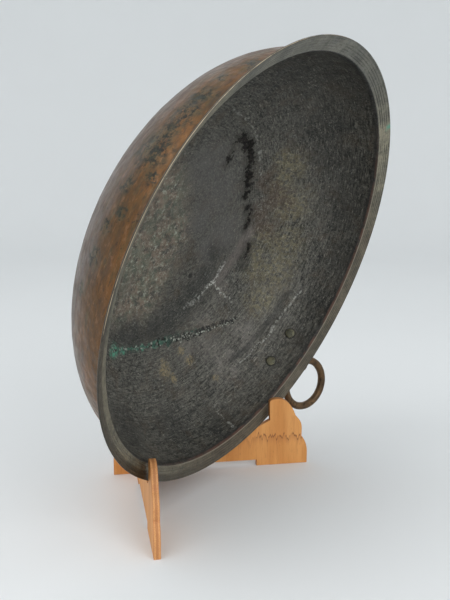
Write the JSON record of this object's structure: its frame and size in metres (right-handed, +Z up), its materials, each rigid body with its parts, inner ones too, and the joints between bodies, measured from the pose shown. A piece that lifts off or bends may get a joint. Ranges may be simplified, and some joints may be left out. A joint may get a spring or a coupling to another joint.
{
  "type": "copper kettle bowl on a display stand",
  "caption": "Hammered copper kettle bowl with a flared lip and a swinging ring handle, displayed on its side in a low stand of interlocking wooden boards.",
  "frame": {"origin": "on the ground, under the middle of the whole object's plan", "axes": "+Z up; the bowl's mouth faces -Y and looks 18 degrees below level; +X to the side that holds the ring handle"},
  "size_m": [0.6, 0.3424, 0.6087],
  "materials": {
    "copper": "hammered, aged copper with a brown and dark green patina",
    "copper_pan": "hammered, aged copper with a brown and grey patina",
    "handle_metal": "forged, dark brown patina, satin where it is rubbed",
    "rivet_metal": "hammered flat, dull brown grey",
    "board_wood": "sanded plywood, satin"
  },
  "bodies": {
    "stand_left": {"stand_board_left": "board_wood"},
    "stand_right": {"stand_board_right": "board_wood"},
    "bowl": {"side_wall": "copper", "bottom_pan": "copper_pan", "handle_bracket": "handle_metal", "bracket_rivet_lower": "rivet_metal", "bracket_rivet_upper": "rivet_metal"},
    "ring": {"ring_handle": "handle_metal"}
  },
  "joints": [
    {"name": "right_board_lift", "type": "slide", "parent": "stand_left", "child": "stand_right", "axis": [0, 0, 1], "range_m": [0, 0.07]},
    {"name": "bowl_lift", "type": "slide", "parent": "stand_right", "child": "bowl", "axis": [0, 0, 1], "range_m": [0, 0.25]},
    {"name": "ring_swing", "type": "hinge", "parent": "bowl", "child": "ring", "pos_m": [0.23154, 0.00175, 0.14074], "axis": [0.6494, -0.2381, 0.7222], "range_deg": [-55, 145]}
  ]
}
